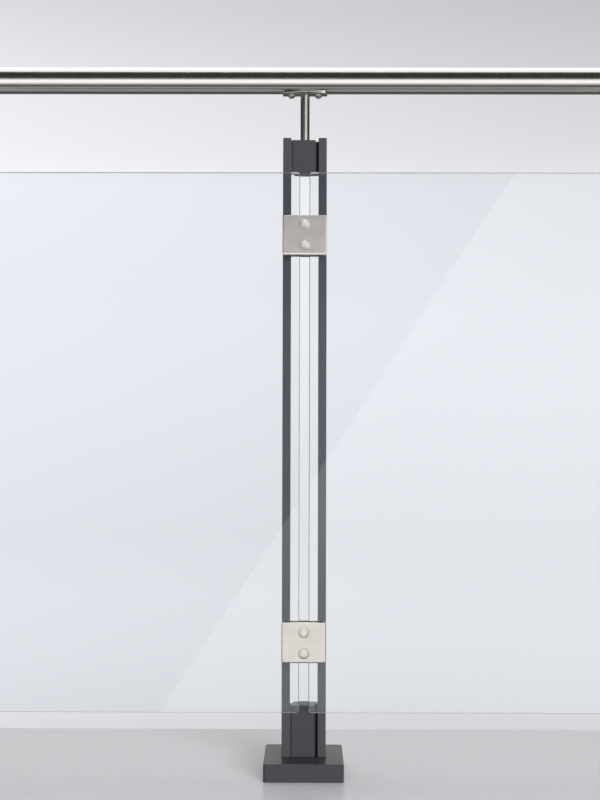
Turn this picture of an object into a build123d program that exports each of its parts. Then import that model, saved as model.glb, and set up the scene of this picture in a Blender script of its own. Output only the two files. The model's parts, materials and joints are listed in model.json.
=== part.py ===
# Balustrade post with two glass panels and a round handrail.
# Millimetres. X runs along the handrail, -Y is the glass side, Z is up.
# The origin is on the floor, at the middle of the floor cover.
import os
from math import sqrt

from build123d import *

# Handrail: its axis sets the height of the post, the glass and the upper clamp
rail_z = 1109.0
rail_rise = 96.0
rail_d = 42.4
rail_wall = 2.0
rail_length = 1000.0

# Post: two upright flat bars with a slot between them
bar_t = 13.0
bar_w = 32.0
slot_w = 44.0
bar_edge_r = 0.8

# Blocks that close the slot at the head and the foot, each with a deep and a shallow groove beside it
head_block_h = 52.5
head_drop = 3.5
foot_block_top = 108.5
groove_w = 5.0
groove_depth = 12.0
seam_w = 3.0
seam_depth = 2.0
block_edge = 0.6

# Floor flange
plate_side = 112.0
plate_t = 12.0
plate_corner_r = 6.0
anchor_pitch = 86.0
anchor_hole_d = 11.0

# Floor cover
cover_side = 125.0
cover_h = 28.0
cover_wall = 2.0
cover_corner_r = 4.0
cover_edge_r = 1.6
cover_gap = 0.5

# Glass panels
glass_t = 10.0
glass_bottom = 100.0
glass_head_gap = 3.0
glass_joint = 15.0
glass_corner_r = 5.0
glass_arris = 1.0

# Glass clamps
clamp_h = 63.0
upper_clamp_drop = 101.5
lower_clamp_rise = 111.5
clamp_screw_pitch = 33.0
clamp_plate_t = 8.0
clamp_back_t = 6.0
clamp_corner_r = 3.5
clamp_edge_r = 2.5
pad_t = 2.0
pad_inset = 1.0
pad_rib_gap = 1.0
bridge_h = 50.0

# Domed clamp bolts, M10, with hexagon nuts
bolt_d = 10.0
bolt_head_d = 17.5
bolt_head_h = 5.5
bolt_end = 3.0
bolt_tip = 1.0
nut_across_flats = 16.0
nut_h = 8.0
nut_chamfer = 1.0

# Countersunk screws, M6
csk_d = 6.0
csk_head_d = 12.0
csk_grip = 14.0
csk_socket = 4.0
csk_socket_depth = 2.4
csk_tip = 1.0
foot_screw_pitch_y = 16.0
foot_screw_pitch_x = 22.0
head_screw_pitch = 26.0
foot_screw_low = 45.0
foot_screw_high = 85.0

# End caps in the handrail
cap_t = 3.0
cap_edge_r = 1.2
cap_spigot = 14.0
cap_spigot_wall = 3.0
cap_play = 0.1

# Pin between the head block and the handrail
pin_d = 15.0
pin_stud_d = 10.0
pin_stud = 20.0
pin_edge = 0.5

# Saddle: a curved oval plate under the handrail
saddle_length = 72.0
saddle_width = 27.0
saddle_end_width = 20.0
saddle_t = 3.5
saddle_corner_r = 5.0
saddle_edge_r = 0.7
core_head_d = 10.0

# Saddle screws, M8, in threaded inserts
saddle_screw_pitch = 43.5
saddle_screw_d = 8.0
saddle_head_d = 14.0
saddle_head_h = 5.0
saddle_socket = 5.0
saddle_socket_depth = 2.5
saddle_screw_end = 2.0
insert_d = 11.0
insert_collar_d = 14.0
insert_collar_h = 6.0
insert_length = 14.0

# Clearances, on the radius
thread_play = 0.1
bolt_play = 0.5
seat_play = 0.2

# Places that follow from the sizes above
post_w = slot_w + 2 * bar_t
bar_x = (slot_w + bar_t) / 2
front_y = -bar_w / 2
back_pad_y = front_y - clamp_back_t
glass_back_y = back_pad_y - pad_t
glass_front_y = glass_back_y - glass_t
clamp_plate_y = glass_front_y - pad_t
bolt_seat_y = clamp_plate_y - clamp_plate_t
post_top = rail_z - rail_rise
head_top = post_top - head_drop
head_bottom = head_top - head_block_h
glass_top = head_bottom - glass_head_gap
clamp_centres = {"upper": glass_top - upper_clamp_drop, "lower": glass_bottom + lower_clamp_rise}
rail_r = rail_d / 2
bore_r = rail_r - rail_wall
saddle_r = rail_r + saddle_t


def chord_depth(radius, half_chord):
    """How far a flat of this half width reaches into a cylinder of this radius."""
    return radius - sqrt(radius**2 - half_chord**2)


pin_seat = rail_z - saddle_r + chord_depth(saddle_r, pin_d / 2 + seat_play)
screw_seat = rail_z - saddle_r + chord_depth(saddle_r, saddle_head_d / 2 + seat_play)
rail_plane = Plane(origin=(0, 0, rail_z), x_dir=(0, 1, 0), z_dir=(1, 0, 0))
saddle_screw_places = [(s * saddle_screw_pitch / 2, 0) for s in (-1, 1)]
side_screws_head = [head_bottom + head_block_h / 2 + s * head_screw_pitch / 2 for s in (-1, 1)]
side_screws_foot = [foot_screw_low, foot_screw_high]
side_screws_bridge = list(clamp_centres.values())


def facing(x, y, z, direction):
    """A location whose own Z axis points along the direction."""
    return Location(Plane(origin=(x, y, z), z_dir=direction))


def side_seats(heights):
    """Countersink seats on the outer faces of both bars."""
    return [facing(s * post_w / 2, 0, z, (s, 0, 0)) for z in heights for s in (-1, 1)]


bar_foot_seats = [
    facing(sx * bar_x, sy * foot_screw_pitch_y / 2, 0, (0, 0, -1)) for sx in (-1, 1) for sy in (-1, 1)
]
block_foot_seats = [facing(s * foot_screw_pitch_x / 2, 0, 0, (0, 0, -1)) for s in (-1, 1)]
foot_seats = bar_foot_seats + block_foot_seats

parts = []


def keep(builder, label):
    """Names a finished piece and files it for export."""
    builder.part.label = label
    parts.append(builder.part)


# Floor flange with four anchor holes and six countersinks from below
with BuildPart() as base_plate:
    with BuildSketch():
        RectangleRounded(plate_side, plate_side, plate_corner_r)
        with GridLocations(anchor_pitch, anchor_pitch, 2, 2):
            Circle(anchor_hole_d / 2, mode=Mode.SUBTRACT)
    extrude(amount=plate_t)
    with Locations(*foot_seats):
        CounterSinkHole(csk_d / 2 + seat_play, csk_head_d / 2, counter_sink_angle=90)
keep(base_plate, "base_plate")


# Upright bars, drilled from the side and tapped from below
for side, name in ((-1, "post_bar_left"), (1, "post_bar_right")):
    with BuildPart() as post_bar:
        with BuildSketch(Plane.XY.offset(plate_t)):
            with Locations((side * bar_x, 0)):
                RectangleRounded(bar_t, bar_w, bar_edge_r)
        extrude(amount=post_top - plate_t)
        top_rim = post_bar.faces().sort_by(Axis.Z)[-1].edges()
        chamfer(top_rim, bar_edge_r / 2)
        bores = side_screws_head + side_screws_foot + side_screws_bridge
        with Locations(*[seat for seat in side_seats(bores) if seat.position.X * side > 0]):
            CounterSinkHole(csk_d / 2 + seat_play, csk_head_d / 2, depth=2 * bar_t, counter_sink_angle=90)
        with Locations(*[seat for seat in bar_foot_seats if seat.position.X * side > 0]):
            Hole(csk_d / 2, depth=plate_t + csk_grip)
    keep(post_bar, name)


def grooved_block(bottom, top):
    """Block between the bars. From either face, the deep groove is at its right and the shallow one at its left."""
    inwards = {1: Align.MAX, -1: Align.MIN}
    with BuildPart() as block:
        with BuildSketch(Plane.XY.offset(bottom)):
            Rectangle(slot_w, bar_w)
            for side in (-1, 1):
                with Locations((side * slot_w / 2, -side * bar_w / 2)):
                    Rectangle(groove_w, groove_depth, align=(inwards[side], inwards[-side]), mode=Mode.SUBTRACT)
                with Locations((side * slot_w / 2, side * bar_w / 2)):
                    Rectangle(seam_w, seam_depth, align=(inwards[side], inwards[side]), mode=Mode.SUBTRACT)
        extrude(amount=top - bottom)
    return block


# Head block, tapped on top for the pin
with BuildPart() as head_block:
    add(grooved_block(head_bottom, head_top).part)
    front_and_back = head_block.faces().filter_by(Axis.Y).group_by(SortBy.AREA)[-1]
    chamfer(front_and_back.edges().filter_by(Axis.X), block_edge)
    with Locations(*side_seats(side_screws_head)):
        Hole(csk_d / 2, depth=bar_t + csk_grip)
    with Locations(Location((0, 0, head_top))):
        Hole(pin_stud_d / 2, depth=pin_stud)
keep(head_block, "head_block")

# Foot block, tapped from below and from both sides
with BuildPart() as foot_block:
    add(grooved_block(plate_t, foot_block_top).part)
    crown = foot_block.faces().sort_by(Axis.Z)[-1]
    chamfer(crown.edges().filter_by(Axis.X), block_edge)
    with Locations(*side_seats(side_screws_foot)):
        Hole(csk_d / 2, depth=bar_t + csk_grip)
    with Locations(*block_foot_seats):
        Hole(csk_d / 2, depth=plate_t + csk_grip)
keep(foot_block, "foot_block")

# Floor cover: a drawn box, open below, with a cut-out for the post
with BuildPart() as base_cover:
    with BuildSketch():
        RectangleRounded(cover_side, cover_side, cover_corner_r)
    extrude(amount=cover_h)
    fillet(base_cover.faces().sort_by(Axis.Z)[-1].edges(), cover_edge_r)
    offset(amount=-cover_wall, openings=base_cover.faces().sort_by(Axis.Z)[0])
    with BuildSketch(Plane.XY.offset(cover_h)):
        Rectangle(post_w + 2 * cover_gap, bar_w + 2 * cover_gap)
    extrude(amount=-2 * cover_wall, mode=Mode.SUBTRACT)
keep(base_cover, "base_cover")


def countersunk_screw(shank_d, head_d, length, socket, socket_depth):
    """Countersunk screw, its flat top at the origin and its shank along -Z."""
    shank_r = shank_d / 2 - thread_play
    head_r = head_d / 2
    with BuildPart() as screw:
        with BuildSketch(Plane.XZ):
            with BuildLine():
                Polyline(
                    (0, 0),
                    (head_r, 0),
                    (shank_r, shank_r - head_r),
                    (shank_r, csk_tip - length),
                    (shank_r - csk_tip, -length),
                    (0, -length),
                    close=True,
                )
            make_face()
        revolve(axis=Axis.Z)
        with BuildSketch():
            RegularPolygon(socket / 2, 6, major_radius=False)
        extrude(amount=-socket_depth, mode=Mode.SUBTRACT)
    return screw.part


side_screw = countersunk_screw(csk_d, csk_head_d, bar_t + csk_grip - csk_tip, csk_socket, csk_socket_depth)
foot_screw = countersunk_screw(csk_d, csk_head_d, plate_t + csk_grip - csk_tip, csk_socket, csk_socket_depth)
screw_groups = (
    ("foot_screws", foot_screw, foot_seats),
    ("block_screws", side_screw, side_seats(side_screws_head + side_screws_foot)),
    ("bridge_screws", side_screw, side_seats(side_screws_bridge)),
)
for name, screw, seats in screw_groups:
    with BuildPart() as group:
        with Locations(*seats):
            add(screw)
    keep(group, name)


def domed_screw(head_d, head_h, shank_d, length, tip):
    """Domed screw, its head's flat underside at the origin and its shank along -Z."""
    shank_r = shank_d / 2 - thread_play
    with BuildPart() as screw:
        with BuildSketch(Plane.XZ):
            with BuildLine():
                dome = TangentArc((0, head_h), (head_d / 2, 0), tangent=(1, 0))
                Polyline(
                    dome @ 1,
                    (shank_r, 0),
                    (shank_r, tip - length),
                    (shank_r - tip, -length),
                    (0, -length),
                    dome @ 0,
                )
            make_face()
        revolve(axis=Axis.Z)
    return screw


bolt_length = bar_w / 2 + nut_h + bolt_end - bolt_seat_y
bolt = domed_screw(bolt_head_d, bolt_head_h, bolt_d, bolt_length, bolt_tip)

# Hexagon nut, its corners chamfered at both ends
with BuildPart() as nut:
    with BuildSketch():
        RegularPolygon(nut_across_flats / 2, 6, major_radius=False, rotation=30)
    extrude(amount=nut_h)
    with BuildSketch(Plane.XZ):
        with BuildLine():
            corner = nut_across_flats / sqrt(3)
            Polyline(
                (0, 0),
                (corner - nut_chamfer, 0),
                (corner, nut_chamfer / 2),
                (corner, nut_h - nut_chamfer / 2),
                (corner - nut_chamfer, nut_h),
                (0, nut_h),
                close=True,
            )
        make_face()
    revolve(axis=Axis.Z, mode=Mode.INTERSECT)
    Hole(bolt_d / 2)


def plate_outline(width, height):
    """Rectangle with the clamp's two screw holes, drawn on an upright plane."""
    Rectangle(width, height)
    with GridLocations(0, clamp_screw_pitch, 1, 2):
        Circle(bolt_d / 2 + bolt_play, mode=Mode.SUBTRACT)


def upright(y, z):
    """Upright plane facing -Y at this depth and height."""
    return Plane(origin=(0, y, z), x_dir=(1, 0, 0), z_dir=(0, -1, 0))


for name, centre in clamp_centres.items():
    bolt_heights = [centre - clamp_screw_pitch / 2, centre + clamp_screw_pitch / 2]
    bolt_seats = [facing(0, bolt_seat_y, z, (0, -1, 0)) for z in bolt_heights]
    nut_seats = [facing(0, bar_w / 2, z, (0, 1, 0)) for z in bolt_heights]

    # Cross piece between the bars, carries the clamp
    with BuildPart() as bridge:
        with BuildSketch(upright(front_y, centre)):
            plate_outline(slot_w, bridge_h)
        extrude(amount=-bar_w)
        with Locations(*side_seats([centre])):
            Hole(csk_d / 2, depth=bar_t + csk_grip)
    keep(bridge, f"{name}_clamp_bridge")

    # Back plate on the bars' front faces
    with BuildPart() as clamp_back:
        with BuildSketch(upright(front_y, centre)):
            plate_outline(post_w, clamp_h)
        extrude(amount=clamp_back_t)
        columns = clamp_back.edges().filter_by(Axis.Y).group_by(Axis.X)
        fillet(columns[0] + columns[-1], clamp_corner_r)
    keep(clamp_back, f"{name}_clamp_back")

    # Rubber pad behind the glass, with a rib in the joint between the panels
    with BuildPart() as back_pad:
        with BuildSketch(upright(back_pad_y, centre)):
            plate_outline(post_w - 2 * pad_inset, clamp_h - 2 * pad_inset)
        extrude(amount=pad_t)
        with BuildSketch(upright(glass_back_y, centre)):
            plate_outline(glass_joint - 2 * pad_rib_gap, clamp_h - 2 * pad_inset)
        extrude(amount=glass_t)
    keep(back_pad, f"{name}_back_pad")

    # Rubber pad in front of the glass
    with BuildPart() as front_pad:
        with BuildSketch(upright(glass_front_y, centre)):
            plate_outline(post_w - 2 * pad_inset, clamp_h - 2 * pad_inset)
        extrude(amount=pad_t)
    keep(front_pad, f"{name}_front_pad")

    # Front plate with rounded corners and edges
    with BuildPart() as clamp_plate:
        with BuildSketch(upright(clamp_plate_y, centre)):
            RectangleRounded(post_w, clamp_h, clamp_corner_r)
        extrude(amount=clamp_plate_t)
        fillet(clamp_plate.faces().sort_by(Axis.Y)[0].edges(), clamp_edge_r)
        with Locations(*bolt_seats):
            Hole(bolt_d / 2 + bolt_play)
    keep(clamp_plate, f"{name}_clamp_plate")

    # Domed bolts from the front plate, and their nuts behind the bridge
    with BuildPart() as clamp_bolts:
        with Locations(*bolt_seats):
            add(bolt.part)
    keep(clamp_bolts, f"{name}_clamp_bolts")
    with BuildPart() as clamp_nuts:
        with Locations(*nut_seats):
            add(nut.part)
    keep(clamp_nuts, f"{name}_clamp_nuts")

# Glass panels, one each side of the joint, with dubbed corners and ground arrises
glass_w = rail_length / 2 - glass_joint / 2
for side, name in ((-1, "glass_left"), (1, "glass_right")):
    with BuildPart() as glass:
        with BuildSketch(upright(glass_back_y, (glass_bottom + glass_top) / 2)):
            with Locations((side * (glass_joint + glass_w) / 2, 0)):
                RectangleRounded(glass_w, glass_top - glass_bottom, glass_corner_r)
        extrude(amount=glass_t)
        panes = glass.faces().filter_by(Axis.Y)
        chamfer(panes.edges(), glass_arris)
    keep(glass, name)

# Handrail tube, drilled below for the two inserts
tube_length = rail_length - 2 * cap_t
with BuildPart() as handrail:
    with BuildSketch(rail_plane):
        Circle(rail_r)
        Circle(bore_r, mode=Mode.SUBTRACT)
    extrude(amount=tube_length / 2, both=True)
    with BuildSketch(Plane.XY.offset(rail_z)):
        with Locations(*saddle_screw_places):
            Circle(insert_d / 2)
    extrude(amount=-rail_d, mode=Mode.SUBTRACT)
keep(handrail, "handrail")

# End caps: a rounded disc with a hollow spigot in the tube
for side, name in ((-1, "end_cap_left"), (1, "end_cap_right")):
    with BuildPart() as end_cap:
        seat = Plane(origin=(side * tube_length / 2, 0, rail_z), x_dir=(0, 1, 0), z_dir=(side, 0, 0))
        with BuildSketch(seat):
            Circle(rail_r)
        extrude(amount=cap_t)
        fillet(end_cap.edges().group_by(Axis.X)[0 if side < 0 else -1], cap_edge_r)
        with BuildSketch(seat):
            Circle(bore_r - cap_play)
            Circle(bore_r - cap_play - cap_spigot_wall, mode=Mode.SUBTRACT)
        extrude(amount=-cap_spigot)
    keep(end_cap, name)

# Saddle: a slice of tube cut to an oval outline, then spot-faced and countersunk
with BuildPart() as rail_saddle:
    with BuildSketch(rail_plane):
        Circle(saddle_r)
        Circle(rail_r, mode=Mode.SUBTRACT)
    extrude(amount=saddle_length / 2, both=True)
    with BuildSketch(Plane.XY.offset(rail_z)) as oval:
        with BuildLine():
            half_l = saddle_length / 2
            half_e = saddle_end_width / 2
            front_arc = ThreePointArc((-half_l, -half_e), (0, -saddle_width / 2), (half_l, -half_e))
            back_arc = ThreePointArc((half_l, half_e), (0, saddle_width / 2), (-half_l, half_e))
            Line(front_arc @ 1, back_arc @ 0)
            Line(back_arc @ 1, front_arc @ 0)
        make_face()
        fillet(oval.vertices(), saddle_corner_r)
    extrude(amount=-2 * saddle_r, mode=Mode.INTERSECT)
    outer_skin = rail_saddle.faces().filter_by(GeomType.CYLINDER).sort_by(Axis.Z)[0]
    fillet(outer_skin.edges(), saddle_edge_r)
    with BuildSketch(Plane.XY.offset(pin_seat)):
        Circle(pin_d / 2 + seat_play)
    extrude(amount=-saddle_t, mode=Mode.SUBTRACT)
    with Locations(Location((0, 0, rail_z - rail_r))):
        CounterSinkHole(csk_d / 2 + seat_play, core_head_d / 2, counter_sink_angle=90)
    with BuildSketch(Plane.XY.offset(screw_seat)):
        with Locations(*saddle_screw_places):
            Circle(saddle_head_d / 2 + seat_play)
    extrude(amount=-saddle_t, mode=Mode.SUBTRACT)
    with Locations(*[Location((x, y, screw_seat)) for x, y in saddle_screw_places]):
        Hole(saddle_screw_d / 2 + bolt_play)
keep(rail_saddle, "rail_saddle")

# Pin: plain shank, a stud in the head block, tapped on top
with BuildPart() as rail_pin:
    with BuildSketch(Plane.XY.offset(head_top)):
        Circle(pin_d / 2)
    extrude(amount=pin_seat - head_top)
    chamfer(rail_pin.edges().filter_by(GeomType.CIRCLE), pin_edge)
    with BuildSketch(Plane.XY.offset(head_top)):
        Circle(pin_stud_d / 2 - thread_play)
    extrude(amount=bolt_tip - pin_stud)
    with Locations(Location((0, 0, pin_seat))):
        Hole(csk_d / 2, depth=csk_grip)
keep(rail_pin, "rail_pin")

# Countersunk screw through the saddle into the pin
core_length = csk_grip - csk_tip
with BuildPart() as saddle_core_screw:
    with Locations(Location((0, 0, rail_z - rail_r))):
        add(countersunk_screw(csk_d, core_head_d, core_length, csk_socket, csk_socket_depth))
keep(saddle_core_screw, "saddle_core_screw")

# Domed screws under the saddle
insert_foot = rail_z - rail_r
saddle_screw_length = insert_foot - screw_seat + insert_length + saddle_screw_end
with BuildPart() as saddle_screw:
    add(domed_screw(saddle_head_d, saddle_head_h, saddle_screw_d, saddle_screw_length, csk_tip).part)
    with BuildSketch(Plane.XY.offset(saddle_head_h)):
        RegularPolygon(saddle_socket / 2, 6, major_radius=False)
    extrude(amount=-saddle_socket_depth, mode=Mode.SUBTRACT)
with BuildPart() as saddle_screws:
    with Locations(*[facing(x, 0, screw_seat, (0, 0, -1)) for x, _ in saddle_screw_places]):
        add(saddle_screw.part)
keep(saddle_screws, "saddle_screws")

# Threaded inserts: a body through the tube wall and a collar that follows the bore
with BuildPart() as insert_collars:
    with BuildSketch(Plane.XY.offset(insert_foot)):
        with Locations(*saddle_screw_places):
            Circle(insert_collar_d / 2)
    extrude(amount=rail_wall + insert_collar_h)
    with BuildSketch(rail_plane):
        Circle(bore_r)
    extrude(amount=saddle_length, both=True, mode=Mode.INTERSECT)
with BuildPart() as rivet_nuts:
    with BuildSketch(Plane.XY.offset(insert_foot)):
        with Locations(*saddle_screw_places):
            Circle(insert_d / 2)
    extrude(amount=insert_length)
    with BuildSketch(rail_plane):
        Circle(rail_r)
    extrude(amount=saddle_length, both=True, mode=Mode.INTERSECT)
    add(insert_collars.part)
    with BuildSketch(Plane.XY.offset(insert_foot)):
        with Locations(*saddle_screw_places):
            Circle(saddle_screw_d / 2)
    extrude(amount=insert_length, mode=Mode.SUBTRACT)
keep(rivet_nuts, "rivet_nuts")

os.makedirs("parts", exist_ok=True)
for piece in parts:
    export_step(piece, f"parts/{piece.label}.step")
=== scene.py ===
import json
import math

import bpy
from mathutils import Matrix, Vector


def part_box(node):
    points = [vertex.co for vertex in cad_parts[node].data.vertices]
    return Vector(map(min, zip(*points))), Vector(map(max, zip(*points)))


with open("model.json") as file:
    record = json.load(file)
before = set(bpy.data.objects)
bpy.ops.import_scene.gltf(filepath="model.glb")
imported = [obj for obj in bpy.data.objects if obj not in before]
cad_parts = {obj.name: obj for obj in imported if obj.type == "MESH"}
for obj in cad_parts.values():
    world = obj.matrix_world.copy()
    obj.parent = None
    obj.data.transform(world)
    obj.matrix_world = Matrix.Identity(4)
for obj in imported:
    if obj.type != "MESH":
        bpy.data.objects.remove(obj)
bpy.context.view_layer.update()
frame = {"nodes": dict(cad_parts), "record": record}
slot_of = {part["node"]: part["material_slot"] for part in frame["record"]["subparts"]}

# The photograph's camera: place in metres, turns in degrees, sensor in millimetres, the rest in pixels
IMAGE_WIDTH, IMAGE_HEIGHT = 600, 800
FOCAL_PIXELS = 1236.8
SENSOR = 36.0
CAMERA_PLACE = Vector((0.00436, -1.98707, 0.53978))
CAMERA_TURN = -0.33
CAMERA_PITCH = 1.53
CAMERA_ROLL = 0.14

# The edge of the gloss on the glass, from its top to its bottom, in the photograph's pixels
GLOSS_EDGE = ((516, 172), (160, 712))

# The studio floor ends at the line where the photograph's wall starts
FLOOR_BACK = 0.283
FLOOR_FRONT = -4.2
FLOOR_SIDE = 8.0

# Directions' heights between which the wall's tone is drawn, and the wall's faint tint
WALL_LOW, WALL_HIGH = -0.25, 0.35
WALL_TINT = (1.0, 0.992, 1.04)

# Even light from all round, and what reflections meet where no lamp stands
AMBIENT = 0.24
DIM = 0.12

# Card for the gloss on the glass, and cards for the haze on each pane
GLOSS_DEPTH, GLOSS_SIDE, GLOSS_RADIANCE = -0.40, 4.0, 1.93
HAZE_DEPTH, HAZE_SIZE = -0.5, (5.0, 4.0)
HAZE_TINT = (0.93, 0.98, 1.05)
HAZE_RADIANCE = {"left": 1.93, "right": 2.9}

# Stainless steel's colours, by finish
SATIN_COLOUR = (0.66, 0.64, 0.60)
RAIL_COLOUR = (0.58, 0.565, 0.53)
FASTENER_COLOUR = (0.55, 0.54, 0.52)


class Tree:
    """Short calls for building a node tree."""

    def __init__(self, owner):
        owner.use_nodes = True
        self.nodes = owner.node_tree.nodes
        self.links = owner.node_tree.links
        self.nodes.clear()

    def add(self, kind, inputs=None, **settings):
        node = self.nodes.new(kind)
        for name, value in settings.items():
            setattr(node, name, value)
        for name, value in (inputs or {}).items():
            self.feed(node.inputs[name], value)
        return node

    def feed(self, socket, value):
        """Links a socket to another node's output, or sets its value."""
        if isinstance(value, bpy.types.NodeSocket):
            self.links.new(value, socket)
        elif isinstance(value, tuple) and len(value) == 3 and socket.type == "RGBA":
            socket.default_value = (*value, 1.0)
        else:
            socket.default_value = value

    def math(self, operation, a, b=0.0):
        node = self.add("ShaderNodeMath", {0: a, 1: b}, operation=operation)
        return node.outputs[0]

    def remap(self, value, low, high, to_low=0.0, to_high=1.0, smooth=True):
        node = self.add(
            "ShaderNodeMapRange",
            {"Value": value, "From Min": low, "From Max": high, "To Min": to_low, "To Max": to_high},
            interpolation_type="SMOOTHSTEP" if smooth else "LINEAR",
        )
        return node.outputs["Result"]

    def mix(self, factor, a, b, blend="MIX"):
        node = self.add("ShaderNodeMix", data_type="RGBA", blend_type=blend)
        for socket, value in ((node.inputs[0], factor), (node.inputs[6], a), (node.inputs[7], b)):
            self.feed(socket, value)
        return node.outputs[2]

    def ramp(self, value, stops):
        """Grey ramp through stops, each a place and its level."""
        node = self.add("ShaderNodeValToRGB", {"Fac": value})
        elements = node.color_ramp.elements
        while len(elements) < len(stops):
            elements.new(0.5)
        for element, (place, level) in zip(elements, stops):
            element.position = place
            element.color = (level, level, level, 1.0)
        return node.outputs["Color"]

    def noise(self, vector, scale, detail=2.0, roughness=0.5):
        node = self.add(
            "ShaderNodeTexNoise",
            {"Vector": vector, "Scale": scale, "Detail": detail, "Roughness": roughness},
        )
        return node.outputs["Fac"]

    def stretched(self, stretch):
        """Object coordinates, scaled along each axis."""
        coordinates = self.add("ShaderNodeTexCoord")
        mapping = self.add("ShaderNodeMapping", {"Vector": coordinates.outputs["Object"], "Scale": stretch})
        return mapping.outputs["Vector"]


def new_material(name):
    material = bpy.data.materials.new(name)
    return material, Tree(material)


def finish_material(tree, shader):
    tree.add("ShaderNodeOutputMaterial", {"Surface": shader})


# Camera
def camera_axes():
    """The camera's right, up and forward directions."""
    turn, pitch, roll = (math.radians(v) for v in (CAMERA_TURN, CAMERA_PITCH, CAMERA_ROLL))
    ahead = Vector((math.sin(turn) * math.cos(pitch), math.cos(turn) * math.cos(pitch), math.sin(pitch)))
    level = ahead.cross(Vector((0, 0, 1))).normalized()
    above = level.cross(ahead)
    right = math.cos(roll) * level + math.sin(roll) * above
    up = math.cos(roll) * above - math.sin(roll) * level
    return right, up, ahead


def make_camera():
    """The photograph's camera, as the scene's active one."""
    right, up, ahead = camera_axes()
    data = bpy.data.cameras.new("camera")
    data.sensor_width = SENSOR
    data.lens = FOCAL_PIXELS * SENSOR / IMAGE_HEIGHT
    data.clip_start, data.clip_end = 0.05, 100.0
    camera = bpy.data.objects.new("camera", data)
    rotation = Matrix((right, up, -ahead)).transposed().to_4x4()
    camera.matrix_world = Matrix.Translation(CAMERA_PLACE) @ rotation
    bpy.context.scene.collection.objects.link(camera)
    bpy.context.scene.camera = camera


def mirrored_in_glass(pixel, depth):
    """The point at this depth that a pixel of the photograph shows as a reflection in the glass."""
    right, up, ahead = camera_axes()
    to_right = (pixel[0] - IMAGE_WIDTH / 2) / FOCAL_PIXELS
    down = (pixel[1] - IMAGE_HEIGHT / 2) / FOCAL_PIXELS
    ray = ahead + right * to_right - up * down
    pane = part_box("glass_left")[0].y
    glass_point = CAMERA_PLACE + ray * (pane - CAMERA_PLACE.y) / ray.y
    back = Vector((ray.x, -ray.y, ray.z))
    return glass_point + back * (depth - pane) / back.y


# Finishes
def powder_coat():
    """Satin anthracite powder coat: fine grain, faint mottling, slightly uneven gloss."""
    material, t = new_material("powder_coat")
    place = t.stretched((1, 1, 1))
    grain = t.noise(place, 1400, detail=3.0)
    cloud = t.noise(place, 9, detail=3.0)
    tone = t.mix(t.remap(grain, 0.3, 0.7), (0.033, 0.0325, 0.0365), (0.040, 0.0395, 0.0445))
    colour = t.mix(t.remap(cloud, 0.3, 0.75, 0.0, 0.35), tone, (0.035, 0.035, 0.040))

    # The bars are a little paler than the blocks between them
    axes = t.add("ShaderNodeSeparateXYZ", {0: place})
    beside = t.math("GREATER_THAN", t.math("ABSOLUTE", axes.outputs["X"]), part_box("head_block")[1].x)
    above = t.math("GREATER_THAN", axes.outputs["Z"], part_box("base_cover")[1].z)
    colour = t.mix(t.math("MULTIPLY", beside, above), colour, (0.043, 0.0425, 0.047))
    bump = t.add("ShaderNodeBump", {"Height": grain, "Strength": 0.25, "Distance": 0.00008})
    shader = t.add(
        "ShaderNodeBsdfPrincipled",
        {
            "Base Color": colour,
            "Roughness": t.remap(cloud, 0.2, 0.8, 0.28, 0.32),
            "Specular IOR Level": 0.16,
            "Normal": bump.outputs["Normal"],
        },
    )
    finish_material(t, shader.outputs[0])
    return material


def brushed(name, colour, roughness, stretch, scale, spread, depth):
    """Stainless steel with a fine grain, drawn out along an axis whose stretch is small.

    spread is how far the roughness wanders each way, and depth is the height of the grain."""
    material, t = new_material(name)
    lines = t.noise(t.stretched(stretch), scale, detail=4.0, roughness=0.6)
    cloud = t.noise(t.stretched((1, 1, 1)), 45, detail=2.0)
    shade = tuple(0.9 * c for c in colour)
    tone = t.mix(t.remap(lines, 0.3, 0.7), shade, colour)
    line_spread = t.remap(lines, 0.25, 0.75, -spread, spread)
    cloud_spread = t.remap(cloud, 0.3, 0.7, -spread, spread)
    uneven = t.math("ADD", line_spread, cloud_spread)
    bump = t.add("ShaderNodeBump", {"Height": lines, "Strength": 0.3, "Distance": depth})
    shader = t.add(
        "ShaderNodeBsdfPrincipled",
        {
            "Base Color": tone,
            "Metallic": 1.0,
            "Roughness": t.math("ADD", uneven, roughness),
            "Normal": bump.outputs["Normal"],
        },
    )
    finish_material(t, shader.outputs[0])
    return material


def clear_glass():
    """Clear glass, faintly blue, with finely ground edges, that lets the lamps' light through."""
    material, t = new_material("clear_glass")
    geometry = t.add("ShaderNodeNewGeometry")
    across = t.add("ShaderNodeSeparateXYZ", {0: geometry.outputs["True Normal"]})
    edge = t.remap(t.math("ABSOLUTE", across.outputs["Y"]), 0.9, 0.75)
    grind = t.noise(t.stretched((1, 1, 1)), 2500, detail=2.0)
    shader = t.add(
        "ShaderNodeBsdfPrincipled",
        {
            "Base Color": t.mix(edge, (0.935, 0.980, 0.990), (0.66, 0.71, 0.71)),
            "Roughness": t.math("MULTIPLY", edge, t.remap(grind, 0.3, 0.7, 0.15, 0.25)),
            "IOR": 1.42,
            "Transmission Weight": t.math("SUBTRACT", 1.0, t.math("MULTIPLY", edge, 0.09)),
        },
    )
    path = t.add("ShaderNodeLightPath")
    clear = t.add("ShaderNodeBsdfTransparent", {"Color": (0.83, 0.87, 0.90)})
    both = t.add(
        "ShaderNodeMixShader",
        {0: path.outputs["Is Shadow Ray"], 1: shader.outputs[0], 2: clear.outputs[0]},
    )
    finish_material(t, both.outputs[0])
    return material


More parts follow.
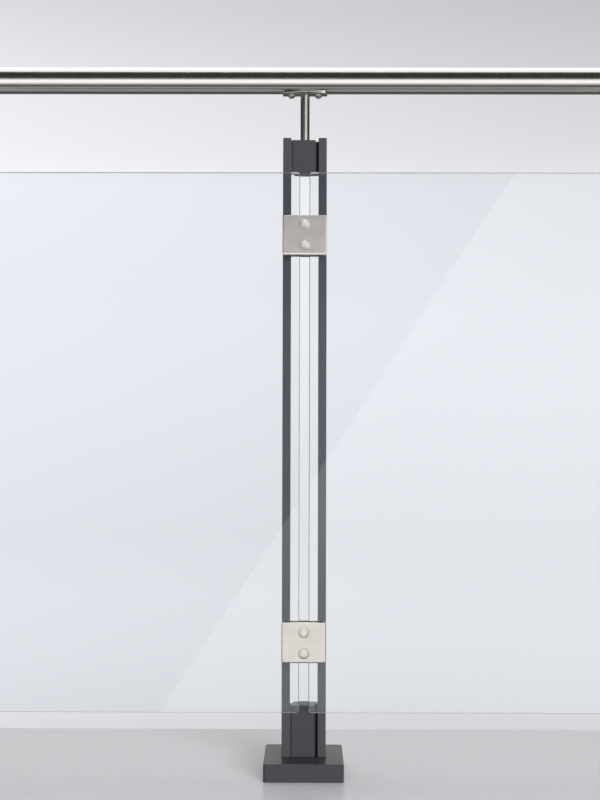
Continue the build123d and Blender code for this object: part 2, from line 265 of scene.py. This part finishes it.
def pad_rubber():
    """Matt grey rubber with a dry, dusty grain."""
    material, t = new_material("pad_rubber")
    grain = t.noise(t.stretched((1, 1, 1)), 900, detail=4.0)
    bump = t.add("ShaderNodeBump", {"Height": grain, "Strength": 0.3, "Distance": 0.0001})
    shader = t.add(
        "ShaderNodeBsdfPrincipled",
        {
            "Base Color": t.mix(t.remap(grain, 0.3, 0.7), (0.13, 0.13, 0.132), (0.18, 0.18, 0.182)),
            "Roughness": t.remap(grain, 0.2, 0.8, 0.6, 0.8),
            "Normal": bump.outputs["Normal"],
        },
    )
    finish_material(t, shader.outputs[0])
    return material


# Studio
def studio_world():
    """Pale wall for the camera, a shaped surround for reflections and an even light for the rest."""
    world = bpy.data.worlds.new("studio")
    bpy.context.scene.world = world
    t = Tree(world)
    way = t.add("ShaderNodeTexCoord").outputs["Generated"]
    axes = t.add("ShaderNodeSeparateXYZ", {0: way})
    x, y, z = (axes.outputs[n] for n in "XYZ")

    # Wall: lighter at mid height, a little darker to the right and most at the top
    rise = t.remap(z, WALL_LOW, WALL_HIGH, smooth=False)
    level = t.ramp(
        rise,
        (
            (0.0, 0.72), (0.04, 0.728), (0.07, 0.772), (0.13, 0.814),
            (0.2, 0.836), (0.285, 0.808), (0.33, 0.824),
            (0.45, 0.868), (0.6, 0.90), (0.74, 0.955), (0.78, 0.897), (0.86, 0.850), (0.96, 0.722),
        ),
    )
    right_end = t.remap(z, 0.065, 0.30, 0.93, 0.775)
    far_right = t.remap(z, -0.02, 0.14, 0.05, 0.22)
    fade = t.mix(t.remap(x, -0.25, far_right, smooth=False), (1, 1, 1), right_end)
    wall = t.mix(1.0, t.mix(1.0, level, WALL_TINT, "MULTIPLY"), fade, "MULTIPLY")

    # Surround for gloss: bright above and straight behind, dim elsewhere
    overhead = t.math("ADD", t.math("MULTIPLY", z, 0.94), t.math("MULTIPLY", y, 0.342))
    sky = t.math("MULTIPLY", t.remap(overhead, 0.68, 0.80), 1.75)
    behind = t.math("MULTIPLY", t.remap(y, 0.72, 0.86), t.remap(z, -0.26, -0.20, 0.0, 0.8))
    front = t.remap(z, 0.05, 0.3, DIM, 0.05)
    surround = t.math("MAXIMUM", t.math("MAXIMUM", sky, behind), front)

    path = t.add("ShaderNodeLightPath")
    plain = t.mix(path.outputs["Is Glossy Ray"], (AMBIENT, AMBIENT, AMBIENT), surround)
    bounces = t.math("ADD", path.outputs["Diffuse Depth"], path.outputs["Glossy Depth"])
    first = t.math("LESS_THAN", bounces, 0.5)
    through = t.math("MULTIPLY", path.outputs["Is Transmission Ray"], first)
    seen = t.math("MAXIMUM", path.outputs["Is Camera Ray"], through)
    colour = t.mix(seen, plain, wall)
    background = t.add("ShaderNodeBackground", {"Color": colour, "Strength": 1.0})
    t.add("ShaderNodeOutputWorld", {"Surface": background.outputs[0]})
    world.cycles.sampling_method = "NONE"


def studio_floor():
    """Pale grey floor with a faint unevenness, which reflections show as an even dim tone."""
    corners = [
        (-FLOOR_SIDE, FLOOR_FRONT, 0.0),
        (FLOOR_SIDE, FLOOR_FRONT, 0.0),
        (FLOOR_SIDE, FLOOR_BACK, 0.0),
        (-FLOOR_SIDE, FLOOR_BACK, 0.0),
    ]
    mesh = bpy.data.meshes.new("studio_floor")
    mesh.from_pydata(corners, [], [(0, 1, 2, 3)])
    floor = bpy.data.objects.new("studio_floor", mesh)
    bpy.context.scene.collection.objects.link(floor)
    material, t = new_material("studio_floor")
    cloud = t.noise(t.stretched((1, 1, 1)), 3, detail=2.0)
    tone = t.mix(cloud, (0.545, 0.535, 0.562), (0.574, 0.564, 0.591))
    plain = t.add(
        "ShaderNodeBsdfPrincipled",
        {
            "Base Color": tone,
            "Roughness": t.remap(cloud, 0.2, 0.8, 0.235, 0.265),
            "Specular IOR Level": 0.22,
        },
    )
    dim = t.add("ShaderNodeEmission", {"Color": (DIM, DIM, DIM)})
    path = t.add("ShaderNodeLightPath")
    straight = t.math("LESS_THAN", path.outputs["Glossy Depth"], 0.5)
    through = t.math("MULTIPLY", path.outputs["Is Transmission Ray"], straight)
    glossy = t.math("MULTIPLY", path.outputs["Is Glossy Ray"], t.math("SUBTRACT", 1.0, through))
    both = t.add("ShaderNodeMixShader", {0: glossy, 1: plain.outputs[0], 2: dim.outputs[0]})
    finish_material(t, both.outputs[0])
    mesh.materials.append(material)


def lamp(name, place, aim, size, radiance, only=(), colour=(1, 1, 1), heights=None, **seen):
    """Rectangular lamp whose radiance is even, or follows heights, a list of heights and factors.

    only names the finishes or nodes that it lights, and seen says which rays meet it."""
    data = bpy.data.lights.new(name, "AREA")
    data.shape = "RECTANGLE"
    data.size, data.size_y = size
    data.color = colour
    data.energy = radiance * math.pi * size[0] * size[1]
    if heights:
        t = Tree(data)
        place_on_lamp = t.add("ShaderNodeNewGeometry").outputs["Position"]
        z = t.add("ShaderNodeSeparateXYZ", {0: place_on_lamp}).outputs["Z"]
        low, high = heights[0][0], heights[-1][0]
        stops = [((height - low) / (high - low), factor) for height, factor in heights]
        factor = t.ramp(t.remap(z, low, high, smooth=False), stops)
        glow = t.add("ShaderNodeEmission", {"Color": factor})
        t.add("ShaderNodeOutputLight", {"Surface": glow.outputs[0]})
    lamp_object = bpy.data.objects.new(name, data)
    lamp_object.location = place
    lamp_object.rotation_euler = (Vector(aim) - Vector(place)).to_track_quat("-Z", "Y").to_euler()
    for ray, shown in seen.items():
        setattr(lamp_object, f"visible_{ray}", shown)
    bpy.context.scene.collection.objects.link(lamp_object)
    if only:
        receivers = bpy.data.collections.new(name + "_receivers")
        for node_name, node in frame["nodes"].items():
            if slot_of[node_name] in only or node_name in only:
                receivers.objects.link(node)
        lamp_object.light_linking.receiver_collection = receivers
    return lamp_object


def gloss_on_glass():
    """A broad card in front of the glass, whose slanting edge is the edge of the gloss."""
    top, bottom = (mirrored_in_glass(pixel, GLOSS_DEPTH) for pixel in GLOSS_EDGE)
    along = (top - bottom).normalized()
    towards_glass = Vector((0, 1, 0))
    inwards = along.cross(-towards_glass).normalized()
    if inwards.x < 0:
        inwards = -inwards
    heights = ((0.0, 0.82), (0.30, 0.74), (0.46, 0.78), (0.8, 0.80))
    card = lamp(
        "gloss_card", (0, GLOSS_DEPTH, 0), (0, 0, 0), (GLOSS_SIDE, GLOSS_SIDE), GLOSS_RADIANCE,
        ("clear_glass",), heights=heights, transmission=False,
    )
    centre = (top + bottom) / 2 + inwards * GLOSS_SIDE / 2
    across = (-towards_glass).cross(along)
    turn = Matrix((along, across, -towards_glass)).transposed().to_4x4()
    card.matrix_world = Matrix.Translation(centre) @ turn


def clamp_lamps(clamp, piece, front, above, below, right, left):
    """Cards round the plate or the bolts of one clamp, each with its own radiance."""
    low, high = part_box(f"{clamp}_clamp_plate")
    middle = (Vector(low) + Vector(high)) / 2
    cards = (
        ("front", (0, -0.42, 0), (1.3, 1.0), front),
        ("above", (0, -0.20, 0.3), (1.0, 0.5), above),
        ("below", (0, -0.12, -0.2), (1.0, 0.5), below),
        ("right", (1.2, -0.3, 0), (1.2, 1.2), right),
        ("left", (-1.2, -0.3, 0), (1.2, 1.2), left),
    )
    for card, offset, size, radiance in cards:
        name = f"{clamp}_{piece}_{card}"
        only = (f"{clamp}_clamp_{piece}",)
        lamp(name, middle + Vector(offset), middle, size, radiance, only, diffuse=False)


def studio_lamps():
    """Two lamps for everything, and others that each serve some pieces or one finish only."""
    unseen = {"glossy": False, "transmission": False}
    lamp("top_lamp", (-0.45, 0.8, 2.8), (0, 0, 0.1), (2.6, 2.2), 2.2, **unseen)
    lamp("front_lamp", (3.6, -7.7, 1.65), (0, 0, 0.5), (5.6, 3.0), 28.0, **unseen)

    # Fill for the post's back and sides, which the photograph doesn't show
    dark = ("powder_coat", "pad_rubber")
    post = tuple(node for node, slot in slot_of.items() if slot in dark and node != "base_cover")
    lamp("back_fill", (-0.8, 3.2, 0.5), (0, 0, 0.5), (3.0, 1.0), 9.0, dark, **unseen)
    for side in (-1, 1):
        lamp(f"side_fill_{side}", (3.2 * side, 1.1, 0.5), (0, 0, 0.5), (1.6, 1.0), 12.0, post, **unseen)

    # Handrail, pin and saddle: a band in front, a glow from below, a strip and two small cards
    rail, pin, saddle = ("rail_stainless",), ("rail_pin",), ("rail_saddle",)
    band = (
        (0.05, 0.0), (0.25, 0.2), (0.5, 0.6), (0.7, 0.9),
        (0.84, 1.05), (1.0, 0.85), (1.12, 0.4), (1.22, 0.0),
    )
    lamp("rail_band", (0, -0.9, 0.66), (0, 0, 0.66), (4.4, 1.22), 1.8, rail, heights=band, diffuse=False)
    lamp("rail_glow", (0, 0, 0.03), (0, 0, 1), (4.4, 1.0), 0.34, rail, diffuse=False)
    lamp("pin_strip", (0.66, -1.29, 1.44), (0, 0, 1.05), (1.5, 0.64), 0.95, pin, diffuse=False)
    lamp("saddle_front", (0.2, -0.9, 1.40), (0, 0, 1.09), (0.7, 0.6), 0.24, saddle, diffuse=False)
    lamp("saddle_right", (0.52, -1.12, 1.43), (0.02, 0, 1.09), (0.2, 0.3), 3.0, saddle, diffuse=False)

    # Clamps: the lower one stands in more light than the upper one
    clamp_lamps("upper", "plate", front=0.48, above=0.0, below=1.2, right=1.6, left=0.0)
    clamp_lamps("lower", "plate", front=0.97, above=0.5, below=0.4, right=0.2, left=0.3)
    clamp_lamps("upper", "bolts", front=0.68, above=0.8, below=0.4, right=1.7, left=0.4)
    clamp_lamps("lower", "bolts", front=0.72, above=0.8, below=1.3, right=1.3, left=1.2)

    # Haze on each pane, strongest a little below mid height
    haze = (
        (0.0, 0.40), (0.22, 0.42), (0.38, 0.64), (0.54, 0.55),
        (0.77, 0.43), (0.85, 0.25), (1.03, 0.08),
    )
    for side, radiance in HAZE_RADIANCE.items():
        lamp(
            f"{side}_haze", (0, HAZE_DEPTH, 1.0), (0, 0, 1.0), HAZE_SIZE, radiance, (f"glass_{side}",),
            colour=HAZE_TINT, heights=haze, diffuse=False, transmission=False,
        )
    gloss_on_glass()


bpy.context.scene.view_settings.view_transform = "Standard"
make_camera()
studio_world()
studio_floor()
studio_lamps()

# Finishes, by material slot
finishes = {
    "powder_coat": powder_coat(),
    "satin_stainless": brushed("satin_stainless", SATIN_COLOUR, 0.40, (0.06, 1, 1), 900, 0.04, 0.00002),
    "rail_stainless": brushed("rail_stainless", RAIL_COLOUR, 0.20, (0.03, 1, 1), 1500, 0.02, 0.000005),
    "fastener_steel": brushed("fastener_steel", FASTENER_COLOUR, 0.36, (1, 1, 1), 700, 0.05, 0.00003),
    "clear_glass": clear_glass(),
    "pad_rubber": pad_rubber(),
}

# The domed heads are duller than the brushed plates
blasted = brushed("blasted_stainless", SATIN_COLOUR, 0.62, (1, 1, 1), 900, 0.04, 0.00002)
for name, node in frame["nodes"].items():
    node.data.materials.clear()
    node.data.materials.append(blasted if name.endswith("clamp_bolts") else finishes[slot_of[name]])
